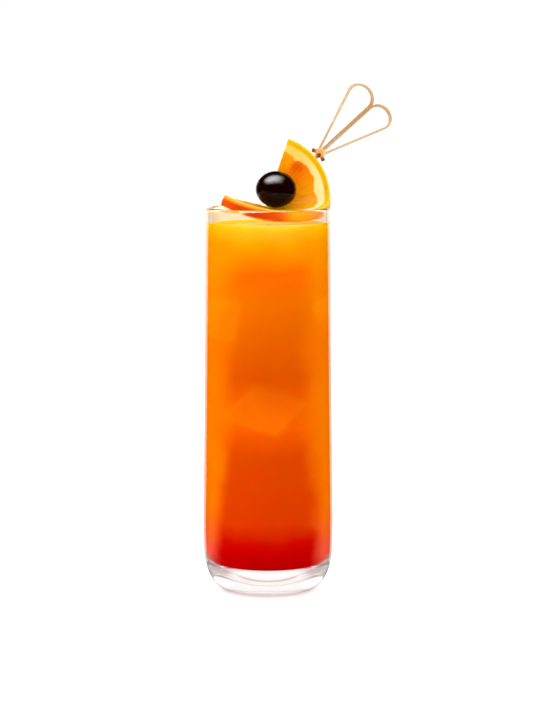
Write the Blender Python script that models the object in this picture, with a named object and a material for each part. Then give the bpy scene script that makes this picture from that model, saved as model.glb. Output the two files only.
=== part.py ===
"""A tequila sunrise in its tall glass, with a folded half slice of orange, a dark cherry and a heart pick.
Metres, +Z up. The origin is the middle of the glass's flat base. The front of the drink faces -Y."""

from math import acos, atan2, cos, pi, radians, sin

import bmesh
import bpy
from mathutils import Matrix, Quaternion, Vector

# Glass
GLASS_HEIGHT = 0.180
RIM_RADIUS = 0.0289
BELLY_RADIUS = 0.0306
BELLY_HEIGHT = 0.034
TAPER_POWER = 0.9
CORNER_RADIUS = 0.0303
CORNER_HEIGHT = 0.019
BASE_RADIUS = 0.0185
WALL = 0.0028
BOTTOM_THICKNESS = 0.0076
BOWL_RISE = 0.005
BOWL_RADIUS = 0.0245
BOWL_CORNER_HEIGHT = 0.0195
TURNED_SIDES = 48
BASE_STEPS = 9
BOWL_STEPS = 7
CORNER_STEPS = 6
WALL_STEPS = 8
LIP_STEPS = 6

# Drink
DRINK_LEVEL = 0.1718
MENISCUS_RISE = 0.0013
MENISCUS_WIDTH = 0.0026
MENISCUS_STEPS = 3
GRENADINE_LEVEL = 0.0210
GAP = 0.0003

# Orange slice: a half wheel whose peel bends forward. Its membranes meet a little below the wheel's middle
SLICE_MIDDLE = Vector((0.0003, 0.0094, 0.1842))
SLICE_RADIUS = 0.0284
SLICE_THICKNESS = 0.0043
CORE_DROP = 0.0042
CUT_ANGLE = radians(71.5)
SLICE_SPAN = radians(206)
FOLD_START = radians(60.5)
FOLD_END = radians(81)
FOLD_TURN = radians(75)
CURL_RATE = 0.161
FLAP_SAG = 0.0008
ZEST_BULGE = 0.0004
ZEST_WIDTH = 0.0020
PITH_WIDTH = 0.0032
SEGMENT_ANGLE = radians(45)
FIRST_SEGMENT = radians(16)
PULP_BULGE = 0.00035
SLICE_STEPS = 42
SLICE_RINGS = 10
FOLD_SUBSTEPS = 12
PEEL_ROWS = (0.2, 0.5, 0.8)
RIM_DENT_REACH = 0.014

# Cherry
CHERRY_MIDDLE = Vector((0.0038, -0.0005, 0.1884))
CHERRY_WIDTH = 0.0192
CHERRY_HEIGHT = 0.0172
CHERRY_SIDES = 28
CHERRY_RINGS = 16

# Heart pick
PICK_NECK = Vector((0.0247, 0.0225, 0.2046))
PICK_TOWARDS_TIP = Vector((-0.671, -0.600, -0.742)).normalized()
PICK_TOWARDS_HEART = Vector((0.735, 0.600, 0.677)).normalized()
STICK_LENGTH = 0.0425
STICK_RADIUS = 0.0009
TIP_LENGTH = 0.0090
TIP_RADIUS = 0.00035
STICK_ABOVE_NECK = 0.0034
STICK_SIDES = 12
STRIP_THICKNESS = 0.0010
STRIP_WIDTH = 0.0018
HEART_POINT_RADIUS = 0.00065
# Where each strip turns back above the knot, and the middle of its wide bend, across and along the heart
LOOPS = (
    ("left_loop", Vector((-0.00105, 0.0030)), Vector((-0.0059, 0.0370)), 0.00635),
    ("right_loop", Vector((0.00105, 0.0030)), Vector((0.0073, 0.0371)), 0.00595),
)
LOOP_SIDES = 30
POINT_SIDES = 4
KNOT_RADIUS = 0.0023
KNOT_HALF_LENGTH = 0.0018
KNOT_SIDES = 16
KNOT_RINGS = 10
BORE_LENGTH = 0.012
STUB_RADIUS = 0.0007
STUB_START = 0.0014
STUB_REACH = 0.0040
STUB_SIDES = 8
STUB_TURNS_AND_LEANS = (
    (radians(8), radians(68)),
    (radians(174), radians(61)),
    (radians(262), radians(37)),
)

MERGE_DISTANCE = 1e-6
SHARP_ANGLE = radians(40)


def clear_scene():
    for item in list(bpy.data.objects):
        bpy.data.objects.remove(item, do_unlink=True)


def make_material(name, colour, roughness):
    material = bpy.data.materials.new(name)
    material.use_nodes = True
    shader = material.node_tree.nodes["Principled BSDF"]
    shader.inputs["Base Color"].default_value = (*colour, 1.0)
    shader.inputs["Roughness"].default_value = roughness
    material.diffuse_color = (*colour, 1.0)
    return material


def add_object(name, mesh_data, material=None):
    """Turns a bmesh into a smooth-shaded object whose faces point out."""
    bmesh.ops.remove_doubles(mesh_data, verts=mesh_data.verts, dist=MERGE_DISTANCE)
    bmesh.ops.recalc_face_normals(mesh_data, faces=mesh_data.faces)
    mesh = bpy.data.meshes.new(name)
    mesh_data.to_mesh(mesh)
    mesh_data.free()
    mesh.shade_smooth()
    mesh.set_sharp_from_angle(angle=SHARP_ANGLE)
    if material:
        mesh.materials.append(material)
    made = bpy.data.objects.new(name, mesh)
    bpy.context.scene.collection.objects.link(made)
    return made


def hide_cutter(cutter):
    cutter.hide_render = True
    cutter.display_type = "WIRE"


def add_boolean(target, cutter, operation="DIFFERENCE"):
    modifier = target.modifiers.new(f"{operation.lower()} {cutter.name}", "BOOLEAN")
    modifier.operation = operation
    modifier.solver = "EXACT"
    modifier.object = cutter
    hide_cutter(cutter)


def spin_outline(name, outline, material=None):
    """Turns a list of (radius, height) about Z. The outline is closed, or starts and ends on the axis."""
    mesh_data = bmesh.new()
    corners = [mesh_data.verts.new((radius, 0.0, height)) for radius, height in outline]
    edges = [mesh_data.edges.new(pair) for pair in zip(corners, corners[1:])]
    if outline[0][0] > 0.0:
        edges.append(mesh_data.edges.new((corners[-1], corners[0])))
    bmesh.ops.spin(
        mesh_data,
        geom=corners + edges,
        cent=(0.0, 0.0, 0.0),
        axis=(0.0, 0.0, 1.0),
        angle=2.0 * pi,
        steps=TURNED_SIDES,
        use_merge=True,
    )
    return add_object(name, mesh_data, material)


def outer_radius(height):
    """The glass's outer wall above its rounded corner: a gentle belly that narrows to the rim."""
    if height < BELLY_HEIGHT:
        share = (height - CORNER_HEIGHT) / (BELLY_HEIGHT - CORNER_HEIGHT)
        return CORNER_RADIUS + (BELLY_RADIUS - CORNER_RADIUS) * sin(share * pi / 2.0)
    share = (height - BELLY_HEIGHT) / (GLASS_HEIGHT - BELLY_HEIGHT)
    return BELLY_RADIUS - (BELLY_RADIUS - RIM_RADIUS) * share**TAPER_POWER


def bowl_height(radius):
    """The inner bottom: a shallow bowl."""
    return BOTTOM_THICKNESS + BOWL_RISE * (radius / BOWL_RADIUS) ** 2


def inner_outline(top, gap, wall_steps):
    """The hollow's outline from the middle of its bottom up to a height, moved in by a gap."""
    outline = []
    for step in range(BOWL_STEPS + 1):
        radius = BOWL_RADIUS * step / BOWL_STEPS
        outline.append((radius, bowl_height(radius) + gap))
    corner_width = outer_radius(BOWL_CORNER_HEIGHT) - WALL - BOWL_RADIUS
    corner_rise = BOWL_CORNER_HEIGHT - bowl_height(BOWL_RADIUS)
    for step in range(1, CORNER_STEPS):
        angle = step / CORNER_STEPS * pi / 2.0
        outline.append((
            BOWL_RADIUS + (corner_width - gap) * sin(angle),
            bowl_height(BOWL_RADIUS) + corner_rise * (1.0 - cos(angle)) + gap * cos(angle),
        ))
    for step in range(wall_steps + 1):
        height = BOWL_CORNER_HEIGHT + (top - BOWL_CORNER_HEIGHT) * step / wall_steps
        outline.append((outer_radius(height) - WALL - gap, height))
    return outline


def make_glass(material):
    outline = [(0.0, 0.0)]
    for step in range(BASE_STEPS + 1):
        angle = step / BASE_STEPS * pi / 2.0
        outline.append((
            BASE_RADIUS + (CORNER_RADIUS - BASE_RADIUS) * sin(angle),
            CORNER_HEIGHT * (1.0 - cos(angle)),
        ))
    lip = WALL / 2.0
    lip_height = GLASS_HEIGHT - lip
    for step in range(1, WALL_STEPS + 1):
        height = CORNER_HEIGHT + (lip_height - CORNER_HEIGHT) * step / WALL_STEPS
        outline.append((outer_radius(height), height))
    for step in range(1, LIP_STEPS):
        angle = step / LIP_STEPS * pi
        outline.append((RIM_RADIUS - lip + lip * cos(angle), lip_height + lip * sin(angle)))
    outline.extend(reversed(inner_outline(lip_height, 0.0, WALL_STEPS)))
    return spin_outline("glass", outline, material)


def make_grenadine(material):
    """The syrup that has sunk to the bottom of the glass."""
    outline = inner_outline(GRENADINE_LEVEL, GAP, 1)
    outline.append((0.0, GRENADINE_LEVEL))
    return spin_outline("grenadine", outline, material)


def make_juice(material):
    """The drink above the syrup, up to a surface that climbs a little at the wall."""
    bottom = GRENADINE_LEVEL + GAP
    wall_radius = outer_radius(bottom) - WALL - GAP
    outline = [(0.0, bottom), (wall_radius, bottom)]
    edge_height = DRINK_LEVEL + MENISCUS_RISE
    for step in range(1, WALL_STEPS + 1):
        height = bottom + (edge_height - bottom) * step / WALL_STEPS
        outline.append((outer_radius(height) - WALL - GAP, height))
    edge_radius = outline[-1][0]
    for step in range(1, MENISCUS_STEPS + 1):
        share = step / MENISCUS_STEPS
        outline.append((
            edge_radius - MENISCUS_WIDTH * share,
            DRINK_LEVEL + MENISCUS_RISE * (1.0 - share) ** 2,
        ))
    outline.append((0.0, DRINK_LEVEL))
    return spin_outline("juice", outline, material)


def fold_rate(angle):
    """How fast the slice turns about its own ray at this angle from its upper cut."""
    if angle < FOLD_START:
        return 0.0
    if angle < FOLD_END:
        return FOLD_TURN / (FOLD_END - FOLD_START)
    return CURL_RATE


def fold_frames():
    """A ray from the wheel's middle to the peel and the normal there, for each step round the slice."""
    ray = Vector((cos(CUT_ANGLE), 0.0, sin(CUT_ANGLE)))
    normal = Vector((0.0, 1.0, 0.0))
    frames = [(ray.copy(), normal.copy())]
    fine = SLICE_SPAN / (SLICE_STEPS * FOLD_SUBSTEPS)
    for step in range(SLICE_STEPS):
        for part in range(FOLD_SUBSTEPS):
            angle = (step * FOLD_SUBSTEPS + part + 0.5) * fine
            ray.rotate(Quaternion(normal, fine))
            normal.rotate(Quaternion(ray, -fold_rate(angle) * fine))
        frames.append((ray.normalized(), normal.normalized()))
    return frames


def slice_core():
    """Where the membranes meet, on the upper cut."""
    return SLICE_MIDDLE - CORE_DROP * Vector((cos(CUT_ANGLE), 0.0, sin(CUT_ANGLE)))


def slice_rays():
    """From the core to the peel, with the outward normal of the underside, for each step round the slice."""
    rays = []
    for ray, normal in fold_frames():
        along_peel = normal.cross(ray)
        reach = SLICE_MIDDLE + ray * SLICE_RADIUS - slice_core()
        rays.append((reach, reach.cross(along_peel).normalized()))
    return rays


def pulp_relief(angle, share):
    """The pulp stands up between the membranes. The share runs from the core to the peel."""
    pulp_share = 1.0 - (ZEST_WIDTH + PITH_WIDTH) / SLICE_RADIUS
    if share >= pulp_share:
        return 0.0
    in_segment = ((angle - FIRST_SEGMENT) / SEGMENT_ANGLE) % 1.0
    return PULP_BULGE * sin(pi * in_segment) * sin(pi * share / pulp_share)


def flap_sag(angle, share):
    """The lying part hangs down between the core and the peel."""
    folded = min(max((angle - FOLD_START) / (FOLD_END - FOLD_START), 0.0), 1.0)
    return FLAP_SAG * folded * sin(pi * share)


def make_slice(material):
    core = slice_core()
    mesh_data = bmesh.new()
    columns = []
    for step, (reach, normal) in enumerate(slice_rays()):
        angle = SLICE_SPAN * step / SLICE_STEPS
        front = []
        back = []
        for ring in range(SLICE_RINGS + 1):
            share = ring / SLICE_RINGS
            relief = pulp_relief(angle, share)
            sag = flap_sag(angle, share)
            front.append(core + reach * share + normal * (sag - relief))
            back.append(core + reach * share + normal * (sag + SLICE_THICKNESS + relief))
        side = []
        for share in PEEL_ROWS:
            bulge = 1.0 + ZEST_BULGE / SLICE_RADIUS * sin(pi * share)
            side.append(core + reach * bulge + normal * (SLICE_THICKNESS * share))
        columns.append([mesh_data.verts.new(point) for point in front + side + back[::-1]])
    for left, right in zip(columns, columns[1:]):
        for row in range(len(left) - 1):
            mesh_data.faces.new((left[row], left[row + 1], right[row + 1], right[row]))
        mesh_data.faces.new((left[-1], left[0], right[0], right[-1]))
    for column in (columns[0], columns[-1]):
        opposite = column[::-1]
        for ring in range(SLICE_RINGS):
            mesh_data.faces.new((column[ring], column[ring + 1], opposite[ring + 1], opposite[ring]))
        mesh_data.faces.new(column[SLICE_RINGS:-SLICE_RINGS])
    return add_object("orange_slice", mesh_data, material)


def make_ball(name, middle, width, height, material=None):
    mesh_data = bmesh.new()
    bmesh.ops.create_uvsphere(mesh_data, u_segments=CHERRY_SIDES, v_segments=CHERRY_RINGS, radius=0.5)
    bmesh.ops.scale(mesh_data, vec=(width, width, height), verts=mesh_data.verts)
    bmesh.ops.translate(mesh_data, vec=middle, verts=mesh_data.verts)
    return add_object(name, mesh_data, material)


def axis_frame(start, direction, side=Vector((0.0, 1.0, 0.0))):
    """A matrix whose Z runs along a direction from a start, with X square to it and to a side."""
    along = direction.normalized()
    across = side.cross(along).normalized()
    other = along.cross(across)
    return Matrix((
        (across.x, other.x, along.x, start.x),
        (across.y, other.y, along.y, start.y),
        (across.z, other.z, along.z, start.z),
        (0.0, 0.0, 0.0, 1.0),
    ))


def make_rod(name, start, direction, length, radius, sides=STICK_SIDES):
    mesh_data = bmesh.new()
    frame = axis_frame(start, direction) @ Matrix.Translation((0.0, 0.0, length / 2.0))
    bmesh.ops.create_cone(
        mesh_data,
        cap_ends=True,
        segments=sides,
        radius1=radius,
        radius2=radius,
        depth=length,
        matrix=frame,
    )
    return add_object(name, mesh_data)


def teardrop(start, point_radius, loop_middle, loop_radius):
    """The outline round a small circle and a larger one: two arcs, and the lines that touch both."""
    reach = loop_middle - start
    heading = atan2(reach.y, reach.x)
    touch = acos((loop_radius - point_radius) / reach.length)
    outline = []
    for step in range(LOOP_SIDES + 1):
        angle = heading - (pi - touch) + 2.0 * (pi - touch) * step / LOOP_SIDES
        outline.append(loop_middle + loop_radius * Vector((cos(angle), sin(angle))))
    for step in range(POINT_SIDES + 1):
        angle = heading + (pi - touch) + 2.0 * touch * step / POINT_SIDES
        outline.append(start + point_radius * Vector((cos(angle), sin(angle))))
    return outline


def extrude_outline(name, outline, frame, width):
    """A flat outline given across and along the frame, made as thick as the width, half to each side."""
    mesh_data = bmesh.new()
    low = [mesh_data.verts.new(frame @ Vector((point.x, -width / 2.0, point.y))) for point in outline]
    face = mesh_data.faces.new(low)
    grown = bmesh.ops.extrude_face_region(mesh_data, geom=[face])
    moved = [item for item in grown["geom"] if isinstance(item, bmesh.types.BMVert)]
    bmesh.ops.translate(mesh_data, vec=frame.to_3x3() @ Vector((0.0, width, 0.0)), verts=moved)
    return add_object(name, mesh_data)


def make_loop(name, start, middle, radius):
    """One bent strip of the heart as two solids: a teardrop, and the smaller teardrop to cut out of it."""
    frame = axis_frame(PICK_NECK, PICK_TOWARDS_HEART)
    half = STRIP_THICKNESS / 2.0
    outside = teardrop(start, HEART_POINT_RADIUS + half, middle, radius + half)
    inside = teardrop(start, HEART_POINT_RADIUS - half, middle, radius - half)
    return (
        extrude_outline(name, outside, frame, STRIP_WIDTH),
        extrude_outline(f"{name}_inside", inside, frame, STRIP_WIDTH * 2.0),
    )


def make_stick(material):
    """The round stick from just above the knot to its tapered tip."""
    frame = axis_frame(PICK_NECK, PICK_TOWARDS_TIP)
    stations = (
        (-STICK_ABOVE_NECK, STICK_RADIUS),
        (STICK_LENGTH - TIP_LENGTH, STICK_RADIUS),
        (STICK_LENGTH, TIP_RADIUS),
    )
    mesh_data = bmesh.new()
    rings = []
    for height, radius in stations:
        ring = []
        for side in range(STICK_SIDES):
            turn = 2.0 * pi * side / STICK_SIDES
            point = Vector((radius * cos(turn), radius * sin(turn), height))
            ring.append(mesh_data.verts.new(frame @ point))
        rings.append(ring)
    for low, high in zip(rings, rings[1:]):
        for side in range(STICK_SIDES):
            after = (side + 1) % STICK_SIDES
            mesh_data.faces.new((low[side], low[after], high[after], high[side]))
    mesh_data.faces.new(rings[0])
    mesh_data.faces.new(rings[-1])
    return add_object("pick", mesh_data, material)


def make_pick(material):
    pick = make_stick(material)
    loops = [make_loop(*loop) for loop in LOOPS]
    for outside, _ in loops:
        add_boolean(pick, outside, "UNION")
    for _, inside in loops:
        add_boolean(pick, inside)
    return pick


def make_knot(material):
    """The binding: a bead on the stick with the ends of the strips standing out of it."""
    frame = axis_frame(PICK_NECK, PICK_TOWARDS_TIP)
    mesh_data = bmesh.new()
    bmesh.ops.create_uvsphere(mesh_data, u_segments=KNOT_SIDES, v_segments=KNOT_RINGS, radius=1.0)
    bmesh.ops.scale(mesh_data, vec=(KNOT_RADIUS, KNOT_RADIUS, KNOT_HALF_LENGTH), verts=mesh_data.verts)
    bmesh.ops.transform(mesh_data, matrix=frame, verts=mesh_data.verts)
    knot = add_object("pick_knot", mesh_data, material)
    for number, (turn, lean) in enumerate(STUB_TURNS_AND_LEANS):
        heading = frame.to_3x3() @ Vector((sin(lean) * cos(turn), sin(lean) * sin(turn), cos(lean)))
        start = PICK_NECK + heading * STUB_START
        stub_length = STUB_REACH - STUB_START
        stub = make_rod(f"stub_{number + 1}", start, heading, stub_length, STUB_RADIUS, STUB_SIDES)
        add_boolean(knot, stub, "UNION")
    bore_start = PICK_NECK - PICK_TOWARDS_TIP * BORE_LENGTH / 2.0
    bore = make_rod("knot_bore", bore_start, PICK_TOWARDS_TIP, BORE_LENGTH, STICK_RADIUS + GAP)
    add_boolean(knot, bore)
    return knot


def make_pick_cutter():
    """The stick with its gap, for the holes in what it pierces."""
    return make_rod("pick_cutter", PICK_NECK, PICK_TOWARDS_TIP, STICK_LENGTH + GAP, STICK_RADIUS + GAP)


def make_rim_cutter():
    """The glass's wall near the rim with its gap, for the dent where the slice rests on it."""
    wide = WALL / 2.0 + GAP
    middle = RIM_RADIUS - WALL / 2.0
    lip_height = GLASS_HEIGHT - WALL / 2.0
    low = GLASS_HEIGHT - RIM_DENT_REACH
    spread = outer_radius(low) - RIM_RADIUS
    outline = [(middle + spread + wide, low)]
    for step in range(LIP_STEPS + 1):
        angle = step / LIP_STEPS * pi
        outline.append((middle + wide * cos(angle), lip_height + wide * sin(angle)))
    outline.append((middle + spread - wide, low))
    return spin_outline("rim_cutter", outline)


def main():
    clear_scene()
    make_glass(make_material("clear glass", (0.93, 0.95, 0.95), 0.03))
    make_grenadine(make_material("grenadine", (0.55, 0.01, 0.01), 0.15))
    make_juice(make_material("orange juice", (0.95, 0.28, 0.01), 0.2))
    orange_slice = make_slice(make_material("orange slice", (0.96, 0.42, 0.03), 0.45))
    dark_red = make_material("dark cherry", (0.03, 0.003, 0.004), 0.12)
    cherry = make_ball("cherry", CHERRY_MIDDLE, CHERRY_WIDTH, CHERRY_HEIGHT, dark_red)
    bamboo = make_material("bamboo", (0.66, 0.50, 0.33), 0.55)
    make_pick(bamboo)
    make_knot(bamboo)

    pick_cutter = make_pick_cutter()
    room_width = CHERRY_WIDTH + 2.0 * GAP
    room_height = CHERRY_HEIGHT + 2.0 * GAP
    cherry_room = make_ball("cherry_room", CHERRY_MIDDLE, room_width, room_height)
    add_boolean(orange_slice, make_rim_cutter())
    add_boolean(orange_slice, cherry_room)
    add_boolean(orange_slice, pick_cutter)
    add_boolean(cherry, pick_cutter)


main()
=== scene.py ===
"""The looks of a tequila sunrise in its tall glass, with its orange slice, cherry and heart pick."""

from math import acos, atan2, cos, pi, radians, sin

import bmesh
import bpy
import numpy as np
from mathutils import Matrix, Quaternion, Vector, noise


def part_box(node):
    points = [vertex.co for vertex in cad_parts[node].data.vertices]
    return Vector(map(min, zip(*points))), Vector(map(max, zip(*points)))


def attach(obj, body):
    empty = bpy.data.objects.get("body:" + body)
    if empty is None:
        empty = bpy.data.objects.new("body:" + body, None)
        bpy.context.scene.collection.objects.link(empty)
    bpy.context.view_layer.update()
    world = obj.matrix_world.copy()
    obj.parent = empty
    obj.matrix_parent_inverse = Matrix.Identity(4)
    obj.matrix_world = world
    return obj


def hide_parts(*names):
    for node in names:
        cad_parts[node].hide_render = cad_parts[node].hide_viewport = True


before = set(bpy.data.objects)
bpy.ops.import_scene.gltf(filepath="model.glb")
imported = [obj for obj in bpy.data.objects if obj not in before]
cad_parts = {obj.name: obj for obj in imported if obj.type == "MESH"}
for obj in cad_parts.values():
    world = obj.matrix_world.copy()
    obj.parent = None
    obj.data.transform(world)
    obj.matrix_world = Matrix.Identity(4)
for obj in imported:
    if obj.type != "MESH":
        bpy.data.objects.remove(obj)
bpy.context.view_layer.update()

# Glass, as in the solid but turned finer
GLASS_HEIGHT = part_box("glass")[1].z
RIM_RADIUS = 0.0289
BELLY_RADIUS = 0.0306
BELLY_HEIGHT = 0.034
TAPER_POWER = 0.9
CORNER_RADIUS = 0.0303
CORNER_HEIGHT = 0.019
BASE_RADIUS = 0.0185
WALL = 0.0028
BOTTOM_THICKNESS = 0.0076
BOWL_RISE = 0.005
BOWL_RADIUS = 0.0245
BOWL_CORNER_HEIGHT = 0.0195
TURNED_SIDES = 160
BASE_STEPS = 28
BOWL_STEPS = 20
CORNER_STEPS = 16
WALL_STEPS = 30
LIP_STEPS = 12
# How far from an edge the ring lies that keeps the face beside it flat
HOLD = 0.0003
# The glass's own sheen, and the tints above the level: a film of drink in patches, and at both sides a
# painted reflection of the drink
CLEAR_SHEEN = (0.18, 0.18, 0.18)
FILM_TINTS = ((1.0, 0.915, 0.79), (0.965, 0.86, 0.68))
FILM_PATCH = 0.006
PAINTED_DRINK_REFLECTION_TINT = (0.93, 0.71, 0.48)
PAINTED_DRINK_REFLECTION_SIDES = (0.0225, 0.0275)

# Drink
DRINK_LEVEL = 0.1718
MENISCUS_RISE = 0.0013
MENISCUS_WIDTH = 0.0026
MENISCUS_STEPS = 8
SURFACE_STEPS = 16
DRINK_WALL_STEPS = 150
INTO_WALL = 0.00006
GAP = 0.0003
SHARP_ANGLE = radians(40)
# How far up or down the faces of the drink's surface and bottom point at least
SURFACE_FACING = 0.3
BOTTOM_FACING = -0.1
DRINK_SCATTER = (1.0, 0.45, 0.04)
DRINK_SCATTER_SCALE = 0.008
# The mirror where the drink lies on the glass, and the painted reflection of a bright backdrop glowing in
# it, by the distance from the middle
SIDE_MIRROR_IOR = 0.8
BOTTOM_MIRROR_IOR = 0.72
MIRROR_START = 0.1
MIDDLE_PAINTED_REFLECTION = (1.0, 0.97, 0.95)
SIDE_PAINTED_REFLECTION = (0.36, 0.25, 0.23)
PAINTED_REFLECTION_REACH = (0.011, 0.021)
PAINTED_REFLECTION_SHARE = 0.6
# Swirls and currents in the drink: their sizes, and how far they move the colours up and aside
SWIRL_SIZE = 0.016
SWIRL_LIFT = 0.006
SWIRL_DRIFT = 0.005
CURRENT_SIZE = 0.034
CURRENT_DRIFT = 0.007
# Half the width of the deep middle at two shares of the height, and how much it narrows at the top, and
# where the painted light that glows through the thin sides is full
MIDDLE_SHARES = (0.10, 0.45)
MIDDLE_WIDTHS = (0.0195, 0.0122)
TOP_SHARES = (0.88, 1.0)
TOP_NARROWING = 0.005
PAINTED_GLOW_FROM = 0.0262

# Ice, wholly sunk: middle, edge length and turn in degrees about X, Y and Z
ICE_CUBES = (
    ((-0.0095, -0.0060, 0.1290), 0.0200, (6, 10, 24)),
    ((0.0130, 0.0010, 0.1330), 0.0190, (20, -16, 50)),
    ((-0.0020, -0.0100, 0.0870), 0.0205, (-10, 32, 6)),
    ((0.0040, 0.0090, 0.1080), 0.0200, (14, 8, 33)),
    ((-0.0050, 0.0060, 0.0560), 0.0190, (30, 10, 70)),
)
ICE_ROUNDING = 0.0030
ICE_CORNER_STEPS = 5
ICE_CLOUDS = ((0.35, (1.0, 1.0, 1.0)), (0.7, (0.82, 0.88, 0.92)))
ICE_CLOUD_SIZE = 0.006
ICE_DENTS = (0.004, 0.0004)
# How the ice fades with its depth behind the drink's side, and the painted light where it shows: a paler
# tint of the drink, and a painted glow at its outline and over it
ICE_SHADE_DEPTH = 0.0045
ICE_SHADE_REACH = 3.0 * ICE_SHADE_DEPTH
ICE_SHADE_STEPS = 28
GHOST_EDGE = 0.18
GHOST_EDGE_WIDTH = 0.126
PAINTED_ICE_OUTLINE_GLOW = 0.05
PAINTED_ICE_GLOW = 0.025
PAINTED_ICE_LIGHT_SHARE = 0.4

# Orange slice, as in the solid but finer
SLICE_MIDDLE = Vector((0.0003, 0.0094, 0.1842))
SLICE_RADIUS = 0.0284
SLICE_THICKNESS = 0.0043
CORE_DROP = 0.0042
CUT_ANGLE = radians(71.5)
SLICE_SPAN = radians(206)
FOLD_START = radians(60.5)
FOLD_END = radians(81)
FOLD_TURN = radians(75)
CURL_RATE = 0.161
FLAP_SAG = 0.0008
ZEST_BULGE = 0.0004
ZEST_BULGE_POWER = 0.7
ZEST_WIDTH = 0.0022
ZEST_FADE = 0.0003
PITH_WIDTH = 0.0030
SEGMENT_ANGLE = radians(45)
FIRST_SEGMENT = radians(16)
PULP_BULGE = 0.00035
PULP_BULGE_RATE = 1.25
SLICE_STEPS = 412
SLICE_RINGS = 84
SLICE_ROWS = 8
SLICE_END_GROWTH = 0.0009
SKIN_SHARE = 0.1
FOLD_SUBSTEPS = 3
MEMBRANE_WIDTH = 0.0003
MEMBRANE_FADE = 0.0006
MEMBRANE_LEAST = 0.92
CORE_WIDTH = 0.0026
SCALLOP_DEPTH = 0.0020
VESICLE_LENGTH = 0.0050
VESICLE_WIDTH = 0.0015
VESICLE_RELIEF = 0.00018
VESICLE_EDGE = 0.45
VESICLE_SIDE_SHIFT = 7.0
# At which shares of the radius the juice sacs have their width, in the relief and in the colours
VESICLE_SHARES = (0.7, 0.8)
# How far the borders of the pulp waver, and how often round the slice and outwards
WAVER = 0.00035
WAVER_RATES = (9.0, 4.0)
PITH_WAVER = 1.6
SLICE_LAYERS = ("turn", "share", "pulp", "zest")
# A deeper patch of pulp, at a turn from the upper cut and a share of the way out
DEEP_SPOT = (0.066, 0.72)
RIM_DENT_REACH = 0.014
# Sizes of the patches of colour
PULP_PATCH_SIZE = 0.008
PITH_PATCH_SIZE = 0.0025
PEEL_PATCH_SIZE = 0.0012
DRIFT_SIZE = 0.01
# Where the pulp's colours fade in, and how far
PULP_OUTWARD = (0.35, 0.85)
CUT_FADE = (FIRST_SEGMENT / (2.0 * pi), 0.75 * FIRST_SEGMENT / (2.0 * pi), 0.0, 0.9)
DEEP_SPOT_FADE = (0.16, 0.0, 0.0, 0.9)
FOLD_FADE = (0.085, 0.165, 0.0, 0.85)
SAC_EDGE_FADE = (0.3, 0.8, 0.0, 0.28)
# Where the pith's colour changes, and the roughness and relief of pith and pulp
PITH_TURNS = (0.03, 0.17)
FLESH_ROUGHNESS = (0.55, 0.35)
FLESH_GRAIN = (0.0006, 0.00006)
SAC_DEPTH = 0.0001
# The reach of the skin's colour by the faces, its patches and its pores
SKIN_BY_FACE_REACH = 1.0 + 0.45 * SKIN_SHARE
SKIN_PATCH_SHARE = 0.15
PORE_SCALE = 1100.0
PORE_WIDTH = 0.4
PORE_DEPTH = 0.0001


def srgb(red, green, blue):
    """A colour in 0 to 255 as the linear colour that shaders take."""
    return tuple((value / 255.0) ** 2.2 for value in (red, green, blue))


# Colours of the drink at shares of its height, in its middle and towards its sides, where painted light
# glowing through the thin edges pales it
DEEP_COLOURS = (
    (0.05, srgb(162, 0, 12)),
    (0.12, srgb(204, 0, 0)),
    (0.15, srgb(210, 18, 0)),
    (0.20, srgb(221, 68, 0)),
    (0.38, srgb(221, 81, 0)),
    (0.47, srgb(242, 106, 0)),
    (0.60, srgb(222, 94, 0)),
    (0.80, srgb(233, 120, 0)),
    (0.88, srgb(246, 115, 0)),
    (0.955, srgb(255, 167, 0)),
    (1.00, srgb(255, 198, 48)),
)
PAINTED_GLOW_COLOURS = (
    (0.08, srgb(210, 72, 64)),
    (0.12, srgb(246, 98, 76)),
    (0.16, srgb(248, 105, 46)),
    (0.24, srgb(250, 124, 6)),
    (0.32, srgb(249, 130, 0)),
    (0.72, srgb(246, 129, 0)),
    (0.90, srgb(252, 148, 0)),
    (0.96, srgb(255, 154, 0)),
    (1.00, srgb(255, 180, 8)),
)

# Colours of the peel's skin at angles in degrees from the upper cut, with painted light: yellow where the
# upright part is backlit, deep orange-red where the lying part is in shade
SKIN_AND_PAINTED_LIGHT_COLOURS = (
    (0, srgb(224, 176, 6)),
    (64, srgb(224, 166, 6)),
    (90, srgb(227, 131, 4)),
    (130, srgb(240, 184, 8)),
    (146, srgb(222, 88, 0)),
    (176, srgb(200, 42, 0)),
    (206, srgb(214, 74, 0)),
)
SKIN_DRIFT = 0.08
SKIN_BY_FACE = srgb(240, 186, 60)
SKIN_PATCH = srgb(238, 150, 10)

# Colours of the pulp in its parts and at the juice sacs' edges, and of the pith and the zest
CORE_PULP = ((0.34, srgb(236, 98, 0)), (0.5, srgb(244, 118, 0)), (0.66, srgb(246, 132, 0)))
PEEL_PULP = (srgb(244, 122, 0), srgb(248, 144, 0))
CUT_PULP = srgb(242, 161, 4)
DEEP_PULP = srgb(224, 70, 0)
FOLD_PULP = srgb(250, 172, 4)
SAC_EDGE = srgb(250, 166, 16)
UPPER_PITH = (srgb(242, 208, 104), srgb(238, 196, 84))
LOWER_PITH = (srgb(243, 236, 176), srgb(240, 226, 150))
ZEST = (srgb(226, 184, 8), srgb(218, 172, 5))

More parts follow.
